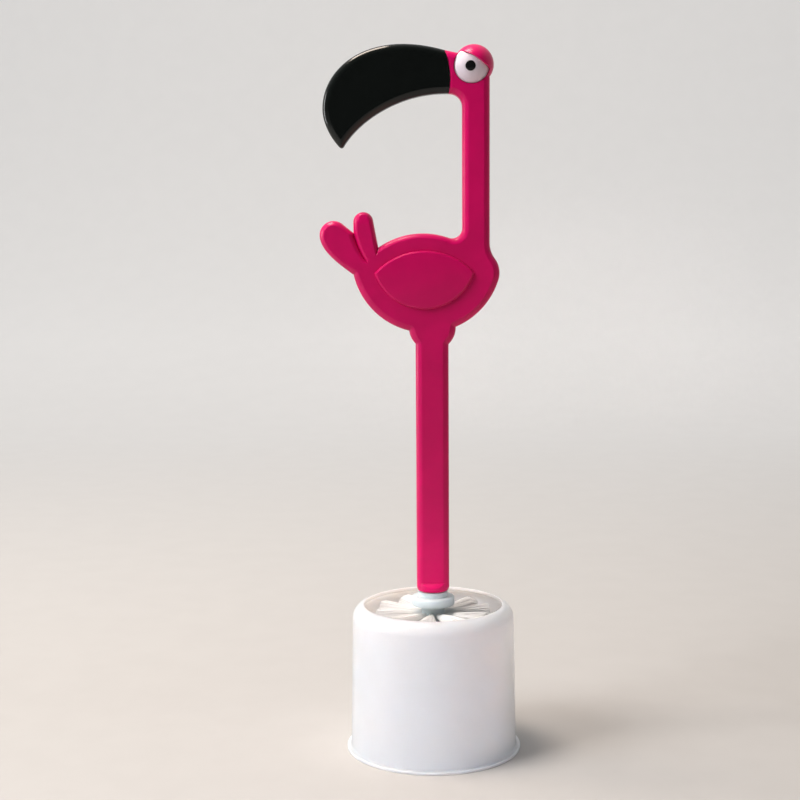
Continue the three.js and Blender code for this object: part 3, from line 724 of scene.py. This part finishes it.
def wing():
    """The raised wing: stacked outlines of two arcs that meet in a point at each end."""
    half = (WING_RIGHT - WING_LEFT) / 2
    middle = (WING_RIGHT + WING_LEFT) / 2
    circles = []
    for side, rise in ((-1, WING_Z - WING_LOW), (1, WING_TOP - WING_Z)):
        radius = (half * half + rise * rise) / (2 * rise)
        circles.append((middle, WING_Z + side * (rise - radius), radius))
    levels = [(0, PLATE_HALF - 1), (0, PLATE_HALF + 0.05)]
    for i in range(1, WING_STEPS + 1):
        angle = math.pi / 2 * i / WING_STEPS
        levels.append((WING_BEVEL * (1 - math.cos(angle)), PLATE_HALF + WING_RISE * math.sin(angle)))
    vertices, rows = [], []
    steps = 90
    for move, height in levels:
        lower, upper = [(x, z, radius - move) for x, z, radius in circles]
        left, right = crossing(lower, upper, -1), crossing(lower, upper, 1)
        loop = []
        for circle, start, end in ((lower, left, right), (upper, right, left)):
            first = angle_to(circle, start)
            sweep = (angle_to(circle, end) - first) % (2 * math.pi)
            loop += [on_circle(circle, first + sweep * i / steps) for i in range(steps)]
        rows.append([len(vertices) + k for k in range(len(loop))])
        vertices += [(x, -height, z) for x, z in loop]
    return make_mesh("wing", vertices, stitched(rows))


def groove(path, left, right, depth):
    """A cutter for a valley in the plate's face, with rounded shoulders like the bevel's.

    Left, right and depth are (start, end) pairs. The path's first point lies outside the plate, and
    its last point closes the valley with a short ramp.
    """
    out = PLATE_HALF + 1.6
    shares = np.linspace(0, 1, 9)
    rise = (bevel_height(shares * BEVEL) - EDGE_HALF) / (PLATE_HALF - EDGE_HALF)
    vertices, rows = [], []
    for i, point in enumerate(path):
        along = np.array(path[min(i + 1, len(path) - 1)]) - path[max(i - 1, 0)]
        across = np.array((along[1], -along[0])) / np.linalg.norm(along)
        share = min(max(i - 1, 0) / (len(path) - 3), 1)
        wide_left, wide_right, deep = (a + (b - a) * share for a, b in (left, right, depth))
        if i == len(path) - 1:
            wide_left, wide_right, deep = 0.15, 0.15, 0.02
        floor = PLATE_HALF + 0.02 - deep
        section = [(wide_left * 1.02, out)]
        section += [(wide_left * t, floor + deep * h) for t, h in zip(shares[::-1], rise[::-1])]
        section += [(-wide_right * t, floor + deep * h) for t, h in zip(shares[1:], rise[1:])]
        section += [(-wide_right * 1.02, out)]
        rows.append([len(vertices) + k for k in range(len(section))])
        vertices += [(point[0] + across[0] * a, -height, point[1] + across[1] * a) for a, height in section]
    return make_mesh("groove", vertices, stitched(rows))


def feather_groove():
    """Between the two tail feathers: deep at the fork, with a short ramp at its lower end."""
    path = bezier(TAIL_FORK, (-45.9, 323.0), (-41.4, 317.0))
    start = (TAIL_FORK[0] - 1.2, TAIL_FORK[1] + 3.4)
    return groove([start, *path, (-40.2, 315.3)], (3.2, 2.2), (2.6, 2.0), (PLATE_HALF - EDGE_HALF, 1.5))


def back_groove():
    """From the notch between the tail and the back, running down into the face."""
    notch = (TAIL_BACK_NOTCH_X, height_on(BACK, TAIL_BACK_NOTCH_X, 1))
    path = bezier(notch, (-34.0, 322.6), (-34.7, 320.6))
    start = (notch[0] + 1.0, notch[1] + 2.4)
    return groove([start, *path, (-35.0, 319.4)], (2.6, 0.9), (1.3, 0.6), (PLATE_HALF - EDGE_HALF, 0.4))


def collar():
    """The round collar, its front cut by a slanted plane that runs up to the leg's flat face."""
    profile = rounded(
        [
            (0, COLLAR_LOW),
            (COLLAR_RADIUS, COLLAR_LOW, COLLAR_EDGE),
            (COLLAR_RADIUS, COLLAR_RAMP),
            (0, COLLAR_RAMP),
        ],
        steps=8,
    )
    start = PLATE_HALF + COLLAR_LEDGE
    slope = math.atan2(COLLAR_RAMP - COLLAR_HIGH, COLLAR_RADIUS - start)
    matrix = (
        Matrix.Translation((0, -start, COLLAR_RAMP))
        @ Matrix.Rotation(slope, 4, "X")
        @ Matrix.Translation((0, 0, -TRIM_REACH / 2))
    )
    below_ramp = block("below_ramp", (TRIM_REACH, TRIM_REACH, TRIM_REACH), matrix)
    ramped = trim(lathe("collar", profile, 96), below_ramp)
    round_edges(ramped, COLLAR_ROUND)
    return trim(ramped, front_space("front"))


# ------------------------------------------------------------------ head and eyes


def ball(margin):
    """The round head, or the same shape moved in by a margin."""
    rows = 48
    profile = []
    for i in range(rows + 1):
        angle = math.pi * i / rows
        radius = 0 if i in (0, rows) else math.sin(angle) * (BALL[2] - margin)
        profile.append((radius, -math.cos(angle) * (BALL_HALF - margin)))
    return lathe("ball", profile, 96, place=BALL[:2])


def below_lid(margin):
    """Everything below the slanted plane of the lid's edge, moved down by a margin."""
    aside, up = LID_OFFSET * math.cos(LID_ANGLE), LID_OFFSET * math.sin(LID_ANGLE)
    matrix = (
        Matrix.Translation((BALL[0] + aside, 0, BALL[1] + up))
        @ Matrix.Rotation(math.pi / 2 - LID_ANGLE, 4, "Y")
        @ Matrix.Rotation(-math.atan(LID_SLOPE), 4, "X")
        @ Matrix.Translation((0, 0, -TRIM_REACH / 2 - margin))
    )
    return block("below_lid", (TRIM_REACH, TRIM_REACH, TRIM_REACH), matrix)


def eye_dome(margin):
    """The eye's outer shape, grown by a margin: a short cylinder with a shallow dome."""
    rise = EYE_TOP - EYE_BASE
    radius = (EYE_RADIUS**2 + rise**2) / (2 * rise)
    sweep = math.asin(EYE_RADIUS / radius)
    profile = [(0, EYE_FLOOR - margin), (EYE_RADIUS + margin, EYE_FLOOR - margin)]
    steps = 16
    for i in range(steps + 1):
        angle = sweep * (1 - i / steps)
        far = EYE_TOP - radius + (radius + margin) * math.cos(angle)
        profile.append((0 if i == steps else (radius + margin) * math.sin(angle), far))
    return lathe("dome", profile, 128, place=EYE)


def drum(place, radius, near, far, sides=96):
    return lathe("drum", [(0, near), (radius, near), (radius, far), (0, far)], sides, place=place)


def eye_space():
    """The room that holds the eye: a round pocket below the lid, and the hollow behind the lid."""
    pocket = trim(drum(EYE, EYE_RADIUS + EYE_GAP, POCKET_FLOOR, 30, 128), below_lid(0))
    return union(pocket, trim(eye_dome(EYE_GAP), ball(LID_WALL)))


def eye():
    clear = union(below_lid(EYE_GAP), ball(LID_WALL + EYE_GAP))
    seat = drum(PUPIL, PUPIL_RADIUS + 0.1, PUPIL_LOW - 0.1, 20)
    return cut(trim(eye_dome(0), clear), seat)


def pupil():
    profile = rounded(
        [
            (0, PUPIL_LOW),
            (PUPIL_RADIUS, PUPIL_LOW, 0.1),
            (PUPIL_RADIUS, PUPIL_HIGH - 0.12, 0.5),
            (0, PUPIL_HIGH),
        ]
    )
    return lathe("pupil", profile, 64, place=PUPIL)


# ------------------------------------------------------------------ handle and beak


def handle_front():
    handle = half_plate("handle_front", handle_outline, eased=True)
    handle = union(handle, collar())
    handle = union(handle, wing())
    handle = cut(handle, feather_groove())
    handle = cut(handle, back_groove())
    handle = union(handle, trim(ball(0), front_space("front")))
    handle = cut(handle, eye_space())
    bore = lathe("bore", [(0, 90), (SOCKET_RADIUS, 90), (SOCKET_RADIUS, 106), (0, 106)], 48)
    return cut(handle, bore)


# ------------------------------------------------------------------ brush


def brush_core():
    thread = []
    thread_root = STUD_RADIUS - THREAD_DEPTH
    z = NECK_RING_HIGH + 1.0
    while z < STUD_HIGH - 1.6:
        thread += [(thread_root, z), (STUD_RADIUS, z + THREAD_PITCH * 0.35)]
        thread += [(STUD_RADIUS, z + THREAD_PITCH * 0.5), (thread_root, z + THREAD_PITCH * 0.85)]
        z += THREAD_PITCH
    profile = rounded(
        [
            (0, CORE_LOW),
            (CORE_RADIUS, CORE_LOW, 2.0),
            (CORE_RADIUS, FLANGE_LOW, 0.8),
            (FLANGE_RADIUS, FLANGE_LOW, 0.7),
            (FLANGE_RADIUS, FLANGE_HIGH, 1.5),
            (NECK_RING_RADIUS, FLANGE_HIGH, 0.5),
            (NECK_RING_RADIUS, NECK_RING_HIGH, 0.6),
            (thread_root, NECK_RING_HIGH, 0.3),
            *thread,
            (thread_root, STUD_HIGH - 0.9, 0.2),
            (STUD_RADIUS - 1.2, STUD_HIGH, 0.2),
            (0, STUD_HIGH),
        ]
    )
    return lathe("brush_stem", profile, 72)


def bristles(name, strands):
    """One mesh of thin round bristles. Each strand is (root, middle, end) of a quadratic curve."""
    sides, steps = 5, 4
    strands = np.array(strands, float)
    vertices, faces = [], []
    for root, middle, end in strands:
        direction = (end - root) / np.linalg.norm(end - root)
        side = np.cross(direction, (0, 0, 1.0) if abs(direction[2]) < 0.9 else (1.0, 0, 0))
        side /= np.linalg.norm(side)
        up = np.cross(direction, side)
        first = len(vertices)
        for i in range(steps + 1):
            t = i / steps
            centre = bent(root, middle, end, t)
            for k in range(sides):
                angle = 2 * math.pi * k / sides
                vertices.append(centre + FILAMENT_RADIUS * (side * math.cos(angle) + up * math.sin(angle)))
        for i in range(steps):
            for k in range(sides):
                after = (k + 1) % sides
                a, b = first + i * sides, first + (i + 1) * sides
                faces.append((a + k, a + after, b + after, b + k))
        faces.append(tuple(first + k for k in range(sides))[::-1])
        faces.append(tuple(first + steps * sides + k for k in range(sides)))
    return make_mesh(name, vertices, faces, sharp=60)


def tuft_strands(z, turn, seed):
    """The bristles of one tuft: bunched at the core and fanned out to the brush's radius."""
    chance = random.Random(seed)
    strands = []
    for i in range(FILAMENTS):
        spread = math.sqrt((i + 0.5) / FILAMENTS)
        around = GOLDEN_TURN * i
        wide, tall = spread * math.cos(around), spread * math.sin(around)
        reach = BRISTLE_RADIUS - FILAMENT_RADIUS - chance.uniform(0, 0.9)
        aside = wide * (TUFT_WIDE - 0.4) + chance.uniform(-0.25, 0.25)
        up = tall * (TUFT_TALL - 0.9) + chance.uniform(-0.2, 0.2)
        root = np.array((CORE_RADIUS - 0.6, wide * (TUFT_ROOT - 0.3), tall * (TUFT_ROOT - 0.3)))
        end = np.array((math.sqrt(reach * reach - aside * aside), aside, up))
        middle = (root + end) / 2
        middle[1] += aside * 0.12 + chance.uniform(-0.2, 0.2)
        middle[2] += up * 0.12 + chance.uniform(-0.2, 0.2)
        strands.append([turned(point, turn, z) for point in (root, middle, end)])
    return strands


def turned(point, turn, z):
    c, s = math.cos(turn), math.sin(turn)
    return (point[0] * c - point[1] * s, point[0] * s + point[1] * c, point[2] + z)


def tuft_angle(ring, k):
    return TUFT_TURN + 2 * math.pi * (k + (ring % 2) / 2) / TUFTS


def tip_strands(seed):
    """The bristles on the end of the core, splayed down and out."""
    chance = random.Random(seed)
    strands = []
    for i in range(TIP_FILAMENTS):
        spread = math.sqrt((i + 0.5) / TIP_FILAMENTS)
        around = GOLDEN_TURN * i
        radius = spread * (TIP_RADIUS - 1)
        curl = max(0, radius - TIP_CURL_START) ** 2 * TIP_CURL
        low = TIP_LOW + 0.5 + curl + chance.uniform(0, 0.5)
        root_radius = spread * (CORE_RADIUS - 1.2)
        mean_radius = (root_radius + radius) * 0.5
        c, s = math.cos(around), math.sin(around)
        root = np.array((root_radius * c, root_radius * s, TIP_HIGH - 0.4 + (0.4 if spread < 0.7 else 0)))
        end = np.array((radius * c, radius * s, low))
        middle = np.array((mean_radius * c, mean_radius * s, (root[2] + low) / 2 + spread * 1.6))
        strands.append((root, middle, end))
    return strands


# ------------------------------------------------------------------ holder


def shoulder_arc(radius, steps):
    centre = HOLDER_HIGH_RADIUS - SHOULDER_RADIUS
    end = math.acos((MOUTH_RADIUS + 0.3 - centre) / radius)
    angles = [end * i / steps for i in range(steps + 1)]
    return [(centre + radius * math.cos(a), SHOULDER_Z + radius * math.sin(a)) for a in angles]


def holder_cover():
    inner = HOLDER_LOW_RADIUS - HOLDER_WALL
    outside = rounded(
        [
            (inner, 0),
            (FOOT_RADIUS, 0, 0.5),
            (FOOT_RADIUS, FOOT_HIGH, 0.7),
            (HOLDER_LOW_RADIUS, FOOT_HIGH, 1.2),
            (HOLDER_HIGH_RADIUS, SHOULDER_Z),
        ]
    )
    lip = shoulder_arc(SHOULDER_RADIUS, 20)
    inside = shoulder_arc(SHOULDER_RADIUS - HOLDER_WALL, 14)[::-1]
    edge_out, edge_in = np.array(lip[-1]), np.array(inside[0])
    middle = (edge_out + edge_in) / 2 + (-0.55, 0)
    turn = [tuple(bent(edge_out, middle, edge_in, t)) for t in (0.25, 0.5, 0.75)]
    return lathe("holder", outside[:-1] + lip + turn + inside, 160, is_ring=True)


def drip_tray():
    inner = TRAY_RADIUS - TRAY_WALL
    profile = rounded(
        [
            (0, 0),
            (TRAY_RADIUS, 0, 0.7),
            (TRAY_RADIUS - 0.1, TRAY_HIGH, 0.6),
            (inner, TRAY_HIGH, 0.6),
            (inner - 0.4, TRAY_FLOOR, 1.4),
            (0, TRAY_FLOOR),
        ]
    )
    return lathe("tray", profile, 128)


# ------------------------------------------------------------------ materials


class Nodes:
    """Short names for building one procedural node material."""

    def __init__(self, name):
        self.material = bpy.data.materials.new(name)
        self.material.use_nodes = True
        self.tree = self.material.node_tree
        self.shader = self.tree.nodes["Principled BSDF"]
        self.place = self.tree.nodes.new("ShaderNodeTexCoord").outputs["Object"]

    def link(self, source, target):
        self.tree.links.new(source, target)

    def stretched(self, scale):
        node = self.tree.nodes.new("ShaderNodeMapping")
        node.inputs["Scale"].default_value = scale
        self.link(self.place, node.inputs["Vector"])
        return node.outputs["Vector"]

    def noise(self, scale, detail=3.0, roughness=0.5, vector=None):
        node = self.tree.nodes.new("ShaderNodeTexNoise")
        node.inputs["Scale"].default_value = scale
        node.inputs["Detail"].default_value = detail
        node.inputs["Roughness"].default_value = roughness
        self.link(vector or self.place, node.inputs["Vector"])
        return node.outputs["Fac"]

    def spread(self, value, low, high, start=0.35, end=0.65):
        node = self.tree.nodes.new("ShaderNodeMapRange")
        for name, number in (("From Min", start), ("From Max", end), ("To Min", low), ("To Max", high)):
            node.inputs[name].default_value = number
        self.link(value, node.inputs["Value"])
        return node.outputs["Result"]

    def mixed(self, value, first, second):
        node = self.tree.nodes.new("ShaderNodeMix")
        node.data_type = "RGBA"
        node.inputs["A"].default_value = (*first, 1)
        node.inputs["B"].default_value = (*second, 1)
        self.link(value, node.inputs["Factor"])
        return node.outputs["Result"]

    def bump(self, value, distance, strength=1.0, below=None):
        node = self.tree.nodes.new("ShaderNodeBump")
        node.inputs["Strength"].default_value = strength
        node.inputs["Distance"].default_value = distance
        self.link(value, node.inputs["Height"])
        if below is not None:
            self.link(below, node.inputs["Normal"])
        return node.outputs["Normal"]

    def set(self, **values):
        for name, value in values.items():
            self.shader.inputs[name.replace("_", " ")].default_value = value

    def drive(self, **sources):
        for name, source in sources.items():
            self.link(source, self.shader.inputs[name.replace("_", " ")])


def plastic(
    name, colour, roughness, grain=0.00002, grain_scale=1800.0, waviness=0.00006, tint=0.06, wear=0.08
):
    """Moulded plastic: fine grain, faint ripples from the mould, and slightly uneven gloss.

    Grain and waviness are bump depths in metres. Tint is how far the colour varies, and wear how far
    the roughness does.
    """
    nodes = Nodes(name)
    lighter = tuple(min(1.0, channel * (1 + tint)) for channel in colour)
    darker = tuple(channel * (1 - tint) for channel in colour)
    cloud = nodes.noise(45.0, 4.0)
    fine = nodes.noise(grain_scale, 2.0)
    ripple = nodes.noise(90.0, 2.0, 0.4)
    scuffs = nodes.noise(160.0, 5.0, 0.7, nodes.stretched((1.0, 1.0, 0.35)))
    nodes.drive(
        Base_Color=nodes.mixed(nodes.spread(cloud, 0, 1), darker, lighter),
        Roughness=nodes.spread(scuffs, roughness - wear / 2, roughness + wear),
        Normal=nodes.bump(fine, grain, 0.6, below=nodes.bump(ripple, waviness, 0.5)),
    )
    return nodes


pink = plastic("pink_plastic", PINK, 0.3, grain=0.00004, grain_scale=1500.0, waviness=0.00004, wear=0.015)
pink.set(IOR=1.5, Specular_IOR_Level=0.28)

black = plastic("black_plastic", BLACK, 0.13, grain=0.000006, waviness=0.00008, wear=0.05)
black.set(IOR=1.5, Specular_IOR_Level=0.35)

eye_white = plastic("eye_white", EYE_WHITE, 0.16, grain=0.000006, waviness=0.00004, tint=0.02)
eye_white.set(Subsurface_Weight=0.15, Subsurface_Radius=(0.002, 0.0016, 0.0014), Subsurface_Scale=1.0)

pupil_black = plastic("pupil_black", PUPIL_BLACK, 0.15, grain=0.000004, waviness=0.00002)

stem = plastic("stem_plastic", STEM_BLUE, 0.32, grain=0.00001, tint=0.03)
stem.set(Subsurface_Weight=0.3, Subsurface_Radius=(0.003, 0.003, 0.0035), Subsurface_Scale=1.0)

milky = plastic("milky_plastic", MILKY, 0.24, grain=0.000004, waviness=0.00002, tint=0.01, wear=0.03)
milky.set(Subsurface_Weight=0.9, Subsurface_Radius=(0.018, 0.015, 0.013), Subsurface_Scale=1.0)

tray_white = plastic("tray_plastic", TRAY_WHITE, 0.35, tint=0.02)

nylon = plastic("bristle_nylon", NYLON, 0.42, grain=0.00001, grain_scale=3000.0, tint=0.05)
nylon.set(Subsurface_Weight=0.35, Subsurface_Radius=(0.002, 0.002, 0.0018), Subsurface_Scale=1.0)

brass = plastic("brass", BRASS, 0.32, grain=0.00002, tint=0.12, wear=0.2)
brass.set(Metallic=1.0)


def dress(obj, nodes):
    obj.data.materials.clear()
    obj.data.materials.append(nodes.material)


# ------------------------------------------------------------------ the pieces


def settle(obj, nodes, body, slot, *replaced):
    """Gives a piece its material and body, and hides the CAD nodes that it stands for."""
    dress(obj, nodes)
    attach(obj, body)
    if replaced:
        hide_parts(*replaced)


def pair(front, name, node, nodes, body, slot, sharp=35):
    """Settles a front piece and its mirrored back piece."""
    front.name = front.data.name = f"{name}_front"
    shade(front, sharp)
    back = mirror_to_back(front, f"{name}_back", sharp)
    settle(front, nodes, body, slot, node.format("front"))
    settle(back, nodes, body, slot, node.format("back"))


pair(handle_front(), "flamingo", "handle_{}_shell", pink, "handle", "pink_plastic", sharp=28)
pair(half_plate("beak", beak_outline), "beak", "beak_{}_shell", black, "handle", "black_plastic")
pair(eye(), "eye_white", "eye_{}", eye_white, "handle", "eye_white")
pair(pupil(), "pupil_disc", "pupil_{}", pupil_black, "handle", "pupil_black")

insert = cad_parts["threaded_insert"]
dress(insert, brass)

settle(brush_core(), stem, "brush_head", "core_plastic", "brush_core")
for k in range(TUFTS):
    number = f"{k + 1:02d}"
    tuft = bristles(f"tuft_{number}", tuft_strands(RING_TOP, tuft_angle(0, k), seed=k))
    settle(tuft, nylon, "brush_head", "bristle_nylon", f"top_tuft_{number}")
for ring in range(1, RINGS):
    strands = []
    for k in range(TUFTS):
        strands += tuft_strands(RING_TOP - RING_PITCH * ring, tuft_angle(ring, k), seed=100 * ring + k)
    lower_ring = bristles(f"bristles_{ring + 1}", strands)
    settle(lower_ring, nylon, "brush_head", "bristle_nylon", f"bristle_ring_{ring + 1}")
tip = bristles("bristles_tip", tip_strands(seed=900))
settle(tip, nylon, "brush_head", "bristle_nylon", "bristle_tip")

settle(holder_cover(), milky, "holder_cover", "holder_plastic", "holder_cover")
settle(drip_tray(), tray_white, "drip_tray", "tray_plastic", "drip_tray")

# ------------------------------------------------------------------ camera, light and floor


def make_camera():
    """A long lens a metre off, looking slightly down on the set and rolled a little."""
    data = bpy.data.cameras.new("camera")
    data.lens = LENS
    data.sensor_width = SENSOR
    camera = bpy.data.objects.new("camera", data)
    bpy.context.scene.collection.objects.link(camera)
    camera.location = (CAMERA_X, CAMERA_Y, cad_bounds[0][2] + CAMERA_HEIGHT)
    camera.rotation_euler = (math.pi / 2 - CAMERA_DOWN, CAMERA_ROLL, 0)
    bpy.context.scene.camera = camera


def area_light(name, place, target, size, power, colour=(1, 1, 1), mirrored=True, lit=True, spread=180):
    """A soft box aimed at a target, with its size in metres, power in watts and spread in degrees.

    It lights matt surfaces if it is lit, and shows in glossy ones if it is mirrored.
    """
    data = bpy.data.lights.new(name, "AREA")
    data.shape = "RECTANGLE"
    data.size, data.size_y = size
    data.energy = power
    data.color = colour
    data.spread = math.radians(spread)
    light = bpy.data.objects.new(name, data)
    light.visible_camera = False
    light.visible_glossy = mirrored
    light.visible_diffuse = lit
    bpy.context.scene.collection.objects.link(light)
    light.location = place
    light.rotation_euler = (Vector(target) - Vector(place)).to_track_quat("-Z", "Y").to_euler()


make_camera()
# The window on the left, a warm lamp overhead, a low soft front light for the holder, the window's
# edge as glossy bevels show it, and a faint red glow for the photo's table.
area_light("key", (-1.2, -0.55, 1.2), (0, 0, 0.25), (0.8, 0.8), 22.5, mirrored=False)
area_light("top", (-0.42, 0.05, 1.5), (0, 0, 0.25), (0.5, 0.5), 17, colour=WARM_LAMP)
area_light(
    "fill",
    (-0.2, -1.4, 0.035),
    (0, 0, 0.035),
    (0.5, 0.08),
    0.18,
    colour=FILL_PINK,
    mirrored=False,
    spread=12,
)
area_light("strip", (-1.5, -0.05, 0.45), (0, 0, 0.4), (0.3, 0.9), 9, lit=False)
area_light("bounce", (0.42, -0.2, 0.004), (0.42, -0.2, 1), (0.5, 0.5), 0.3, colour=TABLE_RED)


def make_world():
    """A white room that is bright behind and above the object and dimmer in front of it."""
    world = bpy.data.worlds.new("world")
    bpy.context.scene.world = world
    world.use_nodes = True
    tree = world.node_tree
    direction = tree.nodes.new("ShaderNodeTexCoord").outputs["Generated"]
    parts = tree.nodes.new("ShaderNodeSeparateXYZ")
    tree.links.new(direction, parts.inputs["Vector"])
    strength = tree.nodes.new("ShaderNodeMapRange")
    strength.interpolation_type = "SMOOTHSTEP"
    strength.inputs["From Min"].default_value = -0.6
    strength.inputs["From Max"].default_value = 0.4
    strength.inputs["To Min"].default_value = ROOM_DIM
    strength.inputs["To Max"].default_value = ROOM_BRIGHT
    tree.links.new(parts.outputs["Y"], strength.inputs["Value"])
    tree.links.new(strength.outputs["Result"], tree.nodes["Background"].inputs["Strength"])
    tree.nodes["Background"].inputs["Color"].default_value = (1, 1, 1, 1)


make_world()
bpy.context.scene.view_settings.view_transform = "Standard"


def make_backdrop():
    """A pale floor that curves up into a softly glowing wall behind the object."""
    profile = [(FLOOR_NEAR, 0.0)]
    for i in range(FLOOR_STEPS + 1):
        angle = math.pi / 2 * i / FLOOR_STEPS
        profile.append((FLOOR_TURN + FLOOR_CURVE * math.sin(angle), FLOOR_CURVE * (1 - math.cos(angle))))
    profile.append((FLOOR_TURN + FLOOR_CURVE, WALL_TOP))
    vertices = [(side * ROOM_HALF_WIDTH, y, z) for y, z in profile for side in (-1, 1)]
    faces = [(2 * i, 2 * i + 1, 2 * i + 3, 2 * i + 2) for i in range(len(profile) - 1)]
    mesh = bpy.data.meshes.new("backdrop")
    mesh.from_pydata(vertices, [], faces)
    mesh.polygons.foreach_set("use_smooth", [True] * len(mesh.polygons))
    backdrop = bpy.data.objects.new("backdrop", mesh)
    bpy.context.scene.collection.objects.link(backdrop)
    paper = Nodes("backdrop_paper")
    parts = paper.tree.nodes.new("ShaderNodeSeparateXYZ")
    paper.link(paper.place, parts.inputs["Vector"])
    paper.drive(
        Base_Color=paper.mixed(paper.spread(paper.noise(30.0), 0, 1), FLOOR_DARKER, FLOOR_LIGHTER),
        Emission_Strength=paper.spread(parts.outputs["Y"], 0, WALL_GLOW, start=GLOW_START, end=GLOW_END),
        Normal=paper.bump(paper.noise(700.0), 0.0001, 0.4),
    )
    paper.set(Roughness=0.85, Emission_Color=(1, 1, 1, 1))
    dress(backdrop, paper)


make_backdrop()
